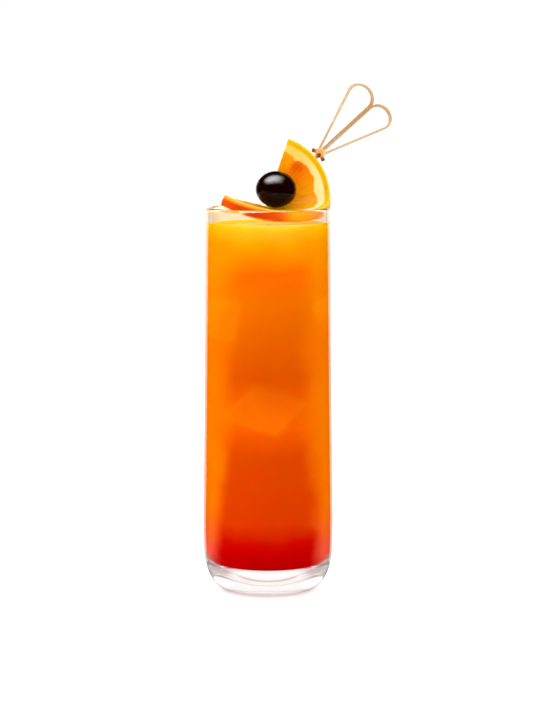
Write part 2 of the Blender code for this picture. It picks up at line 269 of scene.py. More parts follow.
# Colours of the painted light where ice shows through the drink and of its painted glow, of the cherry, and
# of the bamboo, blond and browned by painted shade
PAINTED_ICE_LIGHT_COLOUR = srgb(255, 168, 24)
PAINTED_ICE_GLOW_COLOUR = srgb(255, 190, 40)
CHERRY_TONES = ((0.010, 0.0005, 0.0006), (0.003, 0.0003, 0.0003))
BLOND_BAMBOO = (srgb(214, 188, 150), srgb(186, 155, 114))
PAINTED_SHADE_BAMBOO = (srgb(190, 150, 104), srgb(156, 114, 70))
KNOT_BAMBOO = (srgb(232, 172, 98), srgb(214, 158, 100))
STUB_BAMBOO = (srgb(196, 134, 70), srgb(104, 58, 22))
STUB_FIBRE = srgb(150, 96, 40)
WOOD_GLOSS = 0.015

# Cherry
CHERRY_LOW, CHERRY_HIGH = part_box("cherry")
CHERRY_SIDES = 96
CHERRY_RINGS = 64
CHERRY_UNEVENNESS = 0.00018
CHERRY_DENT_RATE = 130.0
CHERRY_PATCH_SIZE = 0.005
CHERRY_WRINKLE_SIZE = 0.0032
CHERRY_WRINKLE_DEPTH = 0.00012

# Heart pick
PICK_NECK = Vector((0.0247, 0.0225, 0.2046))
PICK_TOWARDS_TIP = Vector((-0.671, -0.600, -0.742)).normalized()
PICK_TOWARDS_HEART = Vector((0.735, 0.600, 0.677)).normalized()
STICK_LENGTH = 0.0425
STICK_RADIUS = 0.0009
TIP_LENGTH = 0.0090
TIP_RADIUS = 0.00035
STICK_SIDES = 24
STRIP_THICKNESS = 0.0010
STRIP_WIDTH = 0.0018
STRIP_SIDES = 20
STRIP_SQUARENESS = 0.5
HEART_POINT_RADIUS = 0.00065
# Each strip of the heart: where it turns back in the knot and the middle of its wide bend, across and along
# the heart, the bend's radius, and at even steps its turn on its edge in degrees and how much painted shade
# browns it
LOOPS = (
    (
        Vector((-0.00105, 0.0014)), Vector((-0.0059, 0.0370)), 0.00635,
        (38, 30, 6, 0, -14, -34, -30, -6, 0, 8, 24),
        (1.0, 0.9, 0.5, 0.3, 0.4, 0.4, 0.15, 0.1, 0.5, 0.8, 0.9),
    ),
    (
        Vector((0.00105, 0.0014)), Vector((0.0073, 0.0371)), 0.00595,
        (0, 6, 18, 20, 8, 0, 0, 0, 0, 0, 0),
        (0.3, 0.3, 0.4, 0.5, 0.6, 0.8, 0.9, 0.8, 0.4, 0.2, 0.2),
    ),
)
# How much painted shade browns the stick
STICK_PAINTED_SHADE = 0.5
LOOP_SIDES = 72
LEG_STEPS = 24
POINT_SIDES = 8
KNOT_RADIUS = 0.0025
KNOT_HALF_LENGTH = 0.0024
KNOT_SIDES = 48
KNOT_RINGS = 32
WINDINGS = 3.0
WINDING_DEPTH = 0.03
STUB_RADIUS = 0.0009
STUB_REACH = 0.0041
STUB_ROOT = 0.6 * KNOT_RADIUS
STUB_TURNS_AND_LEANS = (
    (radians(8), radians(68)),
    (radians(174), radians(61)),
    (radians(262), radians(37)),
)
STUB_DARK_REACH = 0.9 * STUB_REACH
STUB_FIBRE_SHARE = 0.3
STUB_FIBRE_SIZE = 0.0005
# The bamboo's fibres, and the grain of the knot and its ends
FIBRE_SIZE = 0.0007
FIBRE_DEPTH = 0.00006
FIBRE_STRETCH = 0.05
KNOT_PATCH_SIZE = 0.0016
KNOT_GRAIN = (0.0004, 0.00006)
STUB_GRAIN = (0.0003, 0.00005)

# Camera, in metres and degrees
CAMERA_PLACE = (0.00443, -1.350, 0.257)
CAMERA_PITCH = 6.125
CAMERA_LENS = 148.04
CAMERA_REACH = 30.0

# Studio
FRONT_LIGHT = 1.15
BACK_LIGHT = 1.04
SIDE_LIGHT = 2.0
# Where the light changes from front to back, how far aside the side light starts, and how far behind
FRONT_TO_BACK = (-0.7, 0.9)
SIDE_LIGHT_ASIDE = (0.35, 0.8)
SIDE_LIGHT_BEHIND = (-0.35, 0.15)
FLOOR_SIZE = 6.0
FLOOR_GLOW = 0.35
FLOOR_FADE = (0.7, 1.8)
FLOOR_PATCH = 0.4
FLOOR_NEAR = ((0.96, 0.96, 0.96), (0.98, 0.98, 0.98))
FLOOR_FAR = (0.68, 0.68, 0.68)
SOFT_BOX_MIDDLE = (-0.11, -0.09, 0.55)
SOFT_BOX_SIZE = (0.80, 0.54)
SOFT_BOX_CORE = 0.1
SOFT_BOX_STRENGTH = 54.0
TENT_RADIUS = 0.8
TENT_SIDES = 72
TENT_OPENING = 70.0
TENT_OPENING_HEIGHT = 22.0
LIGHT_BOUNCES = 24
GLOSSY_BOUNCES = 16
WHITE = (1.0, 1.0, 1.0)

BODY = "root"


class Graph:
    """Adds shader nodes to a node tree and links them."""

    def __init__(self, tree):
        self.tree = tree

    def node(self, kind, inputs=None, **settings):
        """One node. An input is a value, or another node's output to link."""
        made = self.tree.nodes.new(kind)
        for name, value in settings.items():
            setattr(made, name, value)
        for name, value in (inputs or {}).items():
            if isinstance(value, bpy.types.NodeSocket):
                self.tree.links.new(value, made.inputs[name])
            else:
                made.inputs[name].default_value = value
        return made

    def math(self, operation, first, second=0.0):
        return self.node("ShaderNodeMath", {0: first, 1: second}, operation=operation).outputs[0]

    def mix(self, factor, first, second):
        """Blends two colours. A colour is an output or three numbers."""
        colours = [(*item, 1.0) if isinstance(item, tuple) else item for item in (first, second)]
        inputs = {0: factor, 6: colours[0], 7: colours[1]}
        return self.node("ShaderNodeMix", inputs, data_type="RGBA").outputs[2]

    def mix_shaders(self, factor, first, second):
        inputs = {0: factor, 1: first.outputs[0], 2: second.outputs[0]}
        return self.node("ShaderNodeMixShader", inputs)

    def map_range(self, value, low, high, new_low=0.0, new_high=1.0, smooth=False):
        inputs = {"Value": value, "From Min": low, "From Max": high, "To Min": new_low, "To Max": new_high}
        kind = "SMOOTHSTEP" if smooth else "LINEAR"
        return self.node("ShaderNodeMapRange", inputs, interpolation_type=kind).outputs[0]

    def ramp(self, value, stops):
        """A colour for each value, from (place, colour) stops."""
        made = self.node("ShaderNodeValToRGB", {"Fac": value})
        elements = made.color_ramp.elements
        while len(elements) < len(stops):
            elements.new(0.5)
        for element, (place, colour) in zip(elements, stops):
            element.position = place
            element.color = (*colour, 1.0)
        return made.outputs[0]

    def noise(self, size, vector=None, detail=3.0, distortion=0.0):
        """A noise whose features are about this many metres wide."""
        place = vector or self.place()
        inputs = {"Vector": place, "Scale": 1.0 / size, "Detail": detail, "Distortion": distortion}
        return self.node("ShaderNodeTexNoise", inputs).outputs[0]

    def around_zero(self, size, detail=3.0):
        """A noise moved down to lie about zero."""
        return self.math("SUBTRACT", self.noise(size, detail=detail), 0.5)

    def place(self):
        return self.node("ShaderNodeTexCoord").outputs["Object"]

    def split(self, vector):
        """The three values of a vector."""
        return self.node("ShaderNodeSeparateXYZ", {0: vector}).outputs

    def aside(self):
        """How far the place is to the left or right of the middle."""
        return self.math("ABSOLUTE", self.split(self.place())[0])

    def bump(self, height, depth, normal=None):
        inputs = {"Height": height, "Distance": depth}
        if normal:
            inputs["Normal"] = normal
        return self.node("ShaderNodeBump", inputs).outputs[0]

    def grain(self, size, depth):
        """A relief of noise."""
        return self.bump(self.noise(size), depth)

    def data(self, name):
        """The two values that a named UV map carries."""
        return self.split(self.node("ShaderNodeUVMap", uv_map=name).outputs[0])[:2]


def new_material(name, **inputs):
    """A material with its graph and its shader, on whose sockets the uniform values are set."""
    material = bpy.data.materials.new(name)
    material.use_nodes = True
    shader = material.node_tree.nodes["Principled BSDF"]
    for key, value in inputs.items():
        shader.inputs[key.replace("_", " ")].default_value = value
    return material, Graph(material.node_tree), shader


def connect(graph, shader, **outputs):
    for key, value in outputs.items():
        graph.tree.links.new(value, shader.inputs[key.replace("_", " ")])


def glass_material():
    material, graph, shader = new_material(
        "clear_glass",
        Roughness=0.0,
        IOR=1.5,
        Transmission_Weight=1.0,
        Specular_Tint=(*CLEAR_SHEEN, 1.0),
    )
    height = graph.split(graph.place())[2]
    film = graph.map_range(height, DRINK_LEVEL, DRINK_LEVEL + MENISCUS_RISE, smooth=True)
    film_and_painted_drink_reflection = graph.mix(graph.noise(FILM_PATCH), *FILM_TINTS)
    # At both sides the tint is a painted reflection of the drink
    side = graph.map_range(graph.aside(), *PAINTED_DRINK_REFLECTION_SIDES, smooth=True)
    film_and_painted_drink_reflection = graph.mix(side, film_and_painted_drink_reflection, PAINTED_DRINK_REFLECTION_TINT)
    connect(graph, shader, Base_Color=graph.mix(film, WHITE, film_and_painted_drink_reflection))
    return material


def drink_colour(graph):
    """Yellow at the top, orange for most of the height, red at the bottom, and paler towards both sides with
    painted light that glows through the thin edges.
    """
    swirl = graph.around_zero(SWIRL_SIZE, detail=2.0)
    current = graph.around_zero(CURRENT_SIZE, detail=1.0)
    height = graph.math("ADD", graph.split(graph.place())[2], graph.math("MULTIPLY", swirl, SWIRL_LIFT))
    share = graph.math("DIVIDE", height, DRINK_LEVEL)
    by_swirl = graph.math("MULTIPLY", swirl, SWIRL_DRIFT)
    by_current = graph.math("MULTIPLY", current, CURRENT_DRIFT)
    aside = graph.math("ADD", graph.aside(), graph.math("ADD", by_swirl, by_current))
    widest = graph.map_range(share, *MIDDLE_SHARES, *MIDDLE_WIDTHS)
    narrowing = graph.map_range(share, *TOP_SHARES, 0.0, TOP_NARROWING)
    # Painted light: the drink pales towards both sides, as light glowing through its thin edges
    painted_glow = graph.map_range(aside, graph.math("SUBTRACT", widest, narrowing), PAINTED_GLOW_FROM, smooth=True)
    return graph.mix(painted_glow, graph.ramp(share, DEEP_COLOURS), graph.ramp(share, PAINTED_GLOW_COLOURS))


def drink_material(name, specular=0.0, roughness=0.5, mirror_ior=None):
    """The liquid, with faint ice in it painted on as a paler tint and a glow."""
    material, graph, shader = new_material(
        name,
        Roughness=roughness,
        Specular_IOR_Level=specular,
        Subsurface_Weight=1.0,
        Subsurface_Radius=DRINK_SCATTER,
        Subsurface_Scale=DRINK_SCATTER_SCALE,
        Emission_Color=(*PAINTED_ICE_GLOW_COLOUR, 1.0),
    )
    ghost, _ = graph.data("ghost")
    # Painted light where ice shows through: a paler tint, then a painted glow at its outline and over it
    colour_with_painted_ice_light = graph.mix(graph.math("MULTIPLY", ghost, PAINTED_ICE_LIGHT_SHARE), drink_colour(graph), PAINTED_ICE_LIGHT_COLOUR)
    from_edge = graph.math("ABSOLUTE", graph.math("SUBTRACT", ghost, GHOST_EDGE))
    outline = graph.map_range(from_edge, GHOST_EDGE_WIDTH, 0.0, 0.0, PAINTED_ICE_OUTLINE_GLOW, smooth=True)
    glow = graph.math("ADD", outline, graph.math("MULTIPLY", ghost, PAINTED_ICE_GLOW))
    connect(graph, shader, Base_Color=colour_with_painted_ice_light, Emission_Strength=glow)
    if mirror_ior:
        add_mirror(graph, shader, mirror_ior)
    return material


def add_mirror(graph, shader, mirror_ior):
    """Mixes a mirror with a glowing painted reflection in it over the shader at low angles, as liquid behind
    glass looks.
    """
    mirror = graph.node("ShaderNodeBsdfGlossy", {"Color": (*WHITE, 1.0), "Roughness": 0.0})
    side = graph.map_range(graph.aside(), *PAINTED_REFLECTION_REACH, smooth=True)
    # A painted reflection of a bright backdrop, glowing white in the middle and greyer towards the sides
    painted_reflection = graph.node("ShaderNodeEmission", {"Color": graph.mix(side, MIDDLE_PAINTED_REFLECTION, SIDE_PAINTED_REFLECTION)})
    gloss = graph.mix_shaders(PAINTED_REFLECTION_SHARE, mirror, painted_reflection)
    fresnel = graph.node("ShaderNodeFresnel", {"IOR": mirror_ior})
    share = graph.map_range(fresnel.outputs[0], MIRROR_START, 1.0)
    both = graph.mix_shaders(share, shader, gloss)
    output = graph.tree.nodes["Material Output"]
    graph.tree.links.new(both.outputs[0], output.inputs["Surface"])


def ice_material():
    material, graph, shader = new_material("ice", Roughness=0.05, IOR=1.31, Transmission_Weight=1.0)
    cloud = graph.ramp(graph.noise(ICE_CLOUD_SIZE, detail=4.0), ICE_CLOUDS)
    connect(graph, shader, Base_Color=cloud, Normal=graph.grain(*ICE_DENTS))
    return material


def pulp_colour(graph, turn, share, sacs):
    """Pulp that is deeper by the core and in one patch, and yellower at the cut and towards the fold."""
    patch = graph.noise(PULP_PATCH_SIZE, detail=2.0)
    outward = graph.map_range(share, *PULP_OUTWARD)
    flesh = graph.mix(outward, graph.ramp(patch, CORE_PULP), graph.mix(patch, *PEEL_PULP))
    flesh = graph.mix(graph.map_range(turn, *CUT_FADE, smooth=True), flesh, CUT_PULP)
    spot_turn, spot_share = DEEP_SPOT
    turn_away = graph.math("MULTIPLY", graph.math("SUBTRACT", turn, spot_turn), 2.0 * pi * spot_share)
    away = graph.node("ShaderNodeCombineXYZ", {0: turn_away, 1: graph.math("SUBTRACT", share, spot_share)})
    far = graph.node("ShaderNodeVectorMath", {0: away.outputs[0]}, operation="LENGTH").outputs["Value"]
    flesh = graph.mix(graph.map_range(far, *DEEP_SPOT_FADE, smooth=True), flesh, DEEP_PULP)
    flesh = graph.mix(graph.map_range(turn, *FOLD_FADE, smooth=True), flesh, FOLD_PULP)
    return graph.mix(graph.map_range(sacs, *SAC_EDGE_FADE), flesh, SAC_EDGE)


def slice_flesh_material():
    """The two faces: pulp between thin membranes, white pith, and the cut zest round them."""
    material, graph, shader = new_material(
        "orange_flesh",
        Specular_IOR_Level=0.015,
        Subsurface_Weight=0.8,
        Subsurface_Radius=(1.0, 0.5, 0.1),
        Subsurface_Scale=0.0025,
    )
    turn, share = graph.data("polar")
    pulp, zest = graph.data("layers")
    polar = graph.node("ShaderNodeCombineXYZ", {0: turn, 1: share})
    around = SLICE_RADIUS * 2.0 * pi * VESICLE_SHARES[1] / VESICLE_WIDTH
    scale = (around, SLICE_RADIUS / VESICLE_LENGTH, 1.0)
    cells = graph.node("ShaderNodeMapping", {"Vector": polar.outputs[0], "Scale": scale})
    inputs = {"Vector": cells.outputs[0], "Scale": 1.0}
    sacs = graph.node("ShaderNodeTexVoronoi", inputs, feature="SMOOTH_F1").outputs[0]
    pith_patch = graph.noise(PITH_PATCH_SIZE)
    upper = graph.mix(pith_patch, *UPPER_PITH)
    lower = graph.mix(pith_patch, *LOWER_PITH)
    pith_tone = graph.mix(graph.map_range(turn, *PITH_TURNS, smooth=True), upper, lower)
    colour = graph.mix(pulp, pith_tone, pulp_colour(graph, turn, share, sacs))
    colour = graph.mix(zest, colour, graph.mix(graph.noise(PEEL_PATCH_SIZE), *ZEST))
    rough = graph.map_range(pulp, 0.0, 1.0, *FLESH_ROUGHNESS)
    relief = graph.bump(sacs, SAC_DEPTH, graph.grain(*FLESH_GRAIN))
    connect(graph, shader, Base_Color=colour, Roughness=rough, Normal=relief)
    return material


def slice_skin_material():
    """The peel's outside with oil pores: painted backlight makes it yellow on the upright part, and painted
    shade makes it deep orange on the lying part.
    """
    material, graph, shader = new_material(
        "orange_skin",
        Roughness=0.55,
        Specular_IOR_Level=0.01,
        Subsurface_Weight=0.5,
        Subsurface_Radius=(1.0, 0.4, 0.05),
        Subsurface_Scale=0.002,
    )
    turn, share = graph.data("polar")
    drift = graph.math("MULTIPLY", graph.around_zero(DRIFT_SIZE), SKIN_DRIFT)
    # Painted light along the peel: yellow where backlit on the upright part, deep orange-red in shade on the
    # lying part
    stops = [(radians(angle) / (2.0 * pi), colour) for angle, colour in SKIN_AND_PAINTED_LIGHT_COLOURS]
    tone = graph.ramp(graph.math("ADD", turn, drift), stops)
    near_face = graph.map_range(share, SKIN_BY_FACE_REACH, 1.0, smooth=True)
    tone = graph.mix(near_face, tone, SKIN_BY_FACE)
    patch = graph.math("MULTIPLY", graph.noise(PEEL_PATCH_SIZE), SKIN_PATCH_SHARE)
    pores = graph.node("ShaderNodeTexVoronoi", {"Vector": graph.place(), "Scale": PORE_SCALE})
    dip = graph.bump(graph.map_range(pores.outputs[0], 0.0, PORE_WIDTH), PORE_DEPTH)
    connect(graph, shader, Base_Color=graph.mix(patch, tone, SKIN_PATCH), Normal=dip)
    return material


def cherry_material():
    material, graph, shader = new_material(
        "dark_cherry",
        Roughness=0.12,
        Specular_IOR_Level=0.1,
        Subsurface_Weight=0.5,
        Subsurface_Radius=(1.0, 0.05, 0.04),
        Subsurface_Scale=0.006,
    )
    colour = graph.mix(graph.noise(CHERRY_PATCH_SIZE), *CHERRY_TONES)
    wrinkle = graph.noise(CHERRY_WRINKLE_SIZE, detail=4.0, distortion=0.6)
    connect(graph, shader, Base_Color=colour, Normal=graph.bump(wrinkle, CHERRY_WRINKLE_DEPTH))
    return material


def bamboo_material():
    """Blond bamboo with long fibres that run along the pick, browned by painted shade where the strips lie
    in shade.
    """
    material, graph, shader = new_material("pale_bamboo", Roughness=0.65, Specular_IOR_Level=WOOD_GLOSS)
    tone, _ = graph.data("tone")
    turn = PICK_TOWARDS_HEART.to_track_quat("Z", "Y").inverted().to_euler()
    inputs = {"Vector": graph.place(), "Rotation": turn, "Scale": (1.0, 1.0, FIBRE_STRETCH)}
    grain = graph.noise(FIBRE_SIZE, graph.node("ShaderNodeMapping", inputs).outputs[0])
    # Painted shade: browner where the strips lie in shade
    colour = graph.mix(tone, graph.mix(grain, *BLOND_BAMBOO), graph.mix(grain, *PAINTED_SHADE_BAMBOO))
    connect(graph, shader, Base_Color=colour, Normal=graph.bump(grain, FIBRE_DEPTH))
    return material


def knot_material():
    """The strip wound round the neck, warmer than the heart."""
    material, graph, shader = new_material("bamboo_binding", Roughness=0.6, Specular_IOR_Level=WOOD_GLOSS)
    colour = graph.mix(graph.noise(KNOT_PATCH_SIZE, detail=2.0), *KNOT_BAMBOO)
    connect(graph, shader, Base_Color=colour, Normal=graph.grain(*KNOT_GRAIN))
    return material


def stub_material():
    """Strip ends that darken from the knot outwards."""
    material, graph, shader = new_material("dark_bamboo_ends", Roughness=0.7, Specular_IOR_Level=WOOD_GLOSS)
    inputs = {0: graph.place(), 1: tuple(PICK_NECK)}
    away = graph.node("ShaderNodeVectorMath", inputs, operation="DISTANCE").outputs["Value"]
    tone = graph.mix(graph.map_range(away, KNOT_RADIUS, STUB_DARK_REACH), *STUB_BAMBOO)
    fibre = graph.math("MULTIPLY", graph.noise(STUB_FIBRE_SIZE), STUB_FIBRE_SHARE)
    colour = graph.mix(fibre, tone, STUB_FIBRE)
    connect(graph, shader, Base_Color=colour, Normal=graph.grain(*STUB_GRAIN))
    return material


def finish_mesh(name, form, *materials):
    """Turns a bmesh into a smooth-shaded object whose faces point out."""
    bmesh.ops.remove_doubles(form, verts=form.verts, dist=1e-6)
    bmesh.ops.recalc_face_normals(form, faces=form.faces)
    mesh = bpy.data.meshes.new(name)
    form.to_mesh(mesh)
    form.free()
    mesh.shade_smooth()
    for material in materials:
        mesh.materials.append(material)
    made = bpy.data.objects.new(name, mesh)
    bpy.context.scene.collection.objects.link(made)
    return made


def place_piece(piece, slot, *nodes):
    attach(piece, BODY)
    if nodes:
        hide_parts(*nodes)


def spin_outline(name, outline, *materials):
    """Turns a list of (radius, height) about Z. The outline is closed, or starts and ends on the axis."""
    form = bmesh.new()
    corners = [form.verts.new((radius, 0.0, height)) for radius, height in outline]
    edges = [form.edges.new(pair) for pair in zip(corners, corners[1:])]
    if outline[0][0] > 0.0:
        edges.append(form.edges.new((corners[-1], corners[0])))
    turn = {"axis": (0.0, 0.0, 1.0), "angle": 2.0 * pi, "steps": TURNED_SIDES, "use_merge": True}
    bmesh.ops.spin(form, geom=corners + edges, **turn)
    return finish_mesh(name, form, *materials)


def outer_radius(height):
    """The glass's outer wall above its rounded corner: a gentle belly that narrows to the rim."""
    if height < BELLY_HEIGHT:
        share = (height - CORNER_HEIGHT) / (BELLY_HEIGHT - CORNER_HEIGHT)
        return CORNER_RADIUS + (BELLY_RADIUS - CORNER_RADIUS) * sin(share * pi / 2.0)
    share = (height - BELLY_HEIGHT) / (GLASS_HEIGHT - BELLY_HEIGHT)
    return BELLY_RADIUS - (BELLY_RADIUS - RIM_RADIUS) * share**TAPER_POWER


def bowl_height(radius):
    """The inner bottom: a shallow bowl."""
    return BOTTOM_THICKNESS + BOWL_RISE * (radius / BOWL_RADIUS) ** 2


def inner_outline(top, gap, wall_steps):
    """The hollow's outline from the middle of its bottom up to a height, moved in by a gap."""
    outline = []
    for step in range(BOWL_STEPS + 1):
        radius = BOWL_RADIUS * step / BOWL_STEPS
        outline.append((radius, bowl_height(radius) + gap))
    corner_width = outer_radius(BOWL_CORNER_HEIGHT) - WALL - BOWL_RADIUS
    corner_rise = BOWL_CORNER_HEIGHT - bowl_height(BOWL_RADIUS)
    for step in range(1, CORNER_STEPS):
        angle = step / CORNER_STEPS * pi / 2.0
        height = bowl_height(BOWL_RADIUS) + corner_rise * (1.0 - cos(angle)) + gap * cos(angle)
        outline.append((BOWL_RADIUS + (corner_width - gap) * sin(angle), height))
    for step in range(wall_steps + 1):
        height = BOWL_CORNER_HEIGHT + (top - BOWL_CORNER_HEIGHT) * step / wall_steps
        outline.append((outer_radius(height) - WALL - gap, height))
    return outline


def make_glass():
    outline = [(0.0, 0.0), (BASE_RADIUS - HOLD, 0.0)]
    for step in range(BASE_STEPS + 1):
        angle = step / BASE_STEPS * pi / 2.0
        radius = BASE_RADIUS + (CORNER_RADIUS - BASE_RADIUS) * sin(angle)
        outline.append((radius, CORNER_HEIGHT * (1.0 - cos(angle))))
    lip = WALL / 2.0
    lip_height = GLASS_HEIGHT - lip
    for step in range(1, WALL_STEPS + 1):
        height = CORNER_HEIGHT + (lip_height - CORNER_HEIGHT) * step / WALL_STEPS
        outline.append((outer_radius(height), height))
    outline.insert(-1, (outer_radius(lip_height - HOLD), lip_height - HOLD))
    for step in range(1, LIP_STEPS):
        angle = step / LIP_STEPS * pi
        outline.append((RIM_RADIUS - lip + lip * cos(angle), lip_height + lip * sin(angle)))
    inside = inner_outline(lip_height, 0.0, WALL_STEPS)
    inside.insert(-1, (outer_radius(lip_height - HOLD) - WALL, lip_height - HOLD))
    outline.extend(reversed(inside))
    place_piece(spin_outline("glass_fine", outline, glass_material()), "glass", "glass")


def ice_frames():
    """For each ice cube, its half length and the matrix from its own space to the drink's."""
    frames = []
    for middle, edge, turns in ICE_CUBES:
        place = Matrix.Translation(middle)
        for turn, axis in zip(reversed(turns), "ZYX"):
            place = place @ Matrix.Rotation(radians(turn), 4, axis)
        frames.append((edge / 2.0, place))
    return frames


def ice_shades(points):
    """How strongly ice shows at points of the drink's side, from 0 to 1, by how deep it lies behind them."""
    points = np.array(points)
    inward = -points * (1.0, 1.0, 0.0)
    inward /= np.maximum(np.linalg.norm(inward, axis=1, keepdims=True), GAP)
    cubes = [(half, np.array(place.inverted())) for half, place in ice_frames()]
    shades = np.zeros(len(points))
    for step in range(ICE_SHADE_STEPS):
        depth = ICE_SHADE_REACH * (step + 0.5) / ICE_SHADE_STEPS
        spots = points + inward * depth
        for half, turned in cubes:
            local = np.abs(spots @ turned[:3, :3].T + turned[:3, 3])
            outside = np.linalg.norm(np.maximum(local - half + ICE_ROUNDING, 0.0), axis=1) - ICE_ROUNDING
            inside = np.clip(0.5 - outside / ICE_ROUNDING, 0.0, 1.0)
            shades = np.maximum(shades, inside * np.exp(-depth / ICE_SHADE_DEPTH))
    return shades.tolist()


def make_ice():
    material = ice_material()
    for number, (half, place) in enumerate(ice_frames()):
        form = bmesh.new()
        bmesh.ops.create_cube(form, size=2.0 * half)
        size = {"offset": ICE_ROUNDING, "segments": ICE_CORNER_STEPS}
        bmesh.ops.bevel(form, geom=form.edges, affect="EDGES", **size)
        bmesh.ops.transform(form, matrix=place, verts=form.verts)
        place_piece(finish_mesh(f"ice_{number + 1}", form, material), "juice")


def make_drink():
    """One body of liquid that reaches just into the wall, up to a surface that climbs at the wall."""
    edge_height = DRINK_LEVEL + MENISCUS_RISE
    outline = inner_outline(edge_height, -INTO_WALL, DRINK_WALL_STEPS)
    edge_radius = outline[-1][0]
    for step in range(1, MENISCUS_STEPS + 1):
        share = step / MENISCUS_STEPS
        climb = MENISCUS_RISE * (1.0 - share) ** 2
        outline.append((edge_radius - MENISCUS_WIDTH * share, DRINK_LEVEL + climb))
    surface_radius = outline[-1][0]
    for step in range(1, SURFACE_STEPS + 1):
        outline.append((surface_radius * (1.0 - step / SURFACE_STEPS), DRINK_LEVEL))
    side = drink_material("drink_behind_glass", mirror_ior=SIDE_MIRROR_IOR)
    surface = drink_material("drink_surface", specular=0.1, roughness=0.15)
    bottom = drink_material("drink_on_glass", mirror_ior=BOTTOM_MIRROR_IOR)
    drink = spin_outline("drink", outline, side, surface, bottom)
    mesh = drink.data
    mesh.set_sharp_from_angle(angle=SHARP_ANGLE)
    for face in mesh.polygons:
        if face.center.z > DRINK_LEVEL - INTO_WALL and face.normal.z > SURFACE_FACING:
            face.material_index = 1
        elif face.normal.z < BOTTOM_FACING:
            face.material_index = 2
    shades = ice_shades([vertex.co for vertex in mesh.vertices])
    carry(mesh, "ghost", shades, [0.0] * len(shades))
    place_piece(drink, "juice", "juice", "grenadine")


def carry(mesh, name, first, second):
    """Stores two values for each vertex in a named UV map."""
    layer = mesh.uv_layers.new(name=name)
    for loop in mesh.loops:
        layer.data[loop.index].uv = (first[loop.vertex_index], second[loop.vertex_index])


def take_values(mesh, name):
    """Gives the values of a mesh's attribute and removes it."""
    values = [item.value for item in mesh.attributes[name].data]
    mesh.attributes.remove(mesh.attributes[name])
    return values


def join_rings(form, low, high):
    """Closes the band between two rings of corners and gives its faces."""
    faces = []
    for side in range(len(low)):
        after = (side + 1) % len(low)
        faces.append(form.faces.new((low[side], low[after], high[after], high[side])))
    return faces


def fold_rate(angle):
    """How fast the slice turns about its own ray at this angle from its upper cut."""
    if angle < FOLD_START:
        return 0.0
    if angle < FOLD_END:
        return FOLD_TURN / (FOLD_END - FOLD_START)
    return CURL_RATE


def slice_core():
    """Where the membranes meet, on the upper cut."""
    return SLICE_MIDDLE - CORE_DROP * Vector((cos(CUT_ANGLE), 0.0, sin(CUT_ANGLE)))


def slice_rays():
    """From the core to the peel, with the outward normal of the underside, for each step round the slice."""
    ray = Vector((cos(CUT_ANGLE), 0.0, sin(CUT_ANGLE)))
    normal = Vector((0.0, 1.0, 0.0))
    core = slice_core()
    fine = SLICE_SPAN / (SLICE_STEPS * FOLD_SUBSTEPS)
    rays = []
    for step in range(SLICE_STEPS + 1):
        along_peel = normal.cross(ray)
        reach = SLICE_MIDDLE + ray * SLICE_RADIUS - core
        rays.append((reach, reach.cross(along_peel).normalized()))
        for part in range(FOLD_SUBSTEPS):
            angle = (step * FOLD_SUBSTEPS + part + 0.5) * fine
            ray.rotate(Quaternion(normal, fine))
            normal.rotate(Quaternion(ray, -fold_rate(angle) * fine))
    return rays


def smooth(value, low, high):
    share = min(max((value - low) / (high - low), 0.0), 1.0)
    return share * share * (3.0 - 2.0 * share)


def pulp_mask(angle, share, reach):
    """1 on the pulp, a little less on the membranes and 0 on the core and the pith."""
    in_segment = ((angle - FIRST_SEGMENT) / SEGMENT_ANGLE) % 1.0
    angle_rate, share_rate = WAVER_RATES
    waver = noise.noise(Vector((angle * angle_rate, share * share_rate, 2.0))) * WAVER
    to_membrane = min(in_segment, 1.0 - in_segment) * SEGMENT_ANGLE * share * reach + waver
    scallop = SCALLOP_DEPTH * (1.0 - sin(pi * in_segment)) ** 2
    to_pith = reach * (1.0 - share) - ZEST_WIDTH - PITH_WIDTH - scallop + waver * PITH_WAVER
    to_core = reach * share - CORE_WIDTH
    between = smooth(to_membrane - MEMBRANE_WIDTH / 2.0, 0.0, MEMBRANE_FADE)
    pulp = smooth(min(to_pith, to_core), 0.0, MEMBRANE_FADE)
    return pulp * (MEMBRANE_LEAST + (1.0 - MEMBRANE_LEAST) * between)


def vesicle_relief(angle, share, side):
    """Juice sacs: long cells that point at the core, swollen in their middles."""
    place = Vector((
        angle * SLICE_RADIUS * VESICLE_SHARES[0] / VESICLE_WIDTH,
        share * SLICE_RADIUS / VESICLE_LENGTH + VESICLE_SIDE_SHIFT * side,
        side,
    ))
    distances, _ = noise.voronoi(place)
    return VESICLE_RELIEF * (smooth(distances[1] - distances[0], 0.0, VESICLE_EDGE) - 0.5)


def flap_sag(angle, share):
    """The lying part hangs down between the core and the peel."""
    folded = min(max((angle - FOLD_START) / (FOLD_END - FOLD_START), 0.0), 1.0)
    return FLAP_SAG * folded * sin(pi * share)


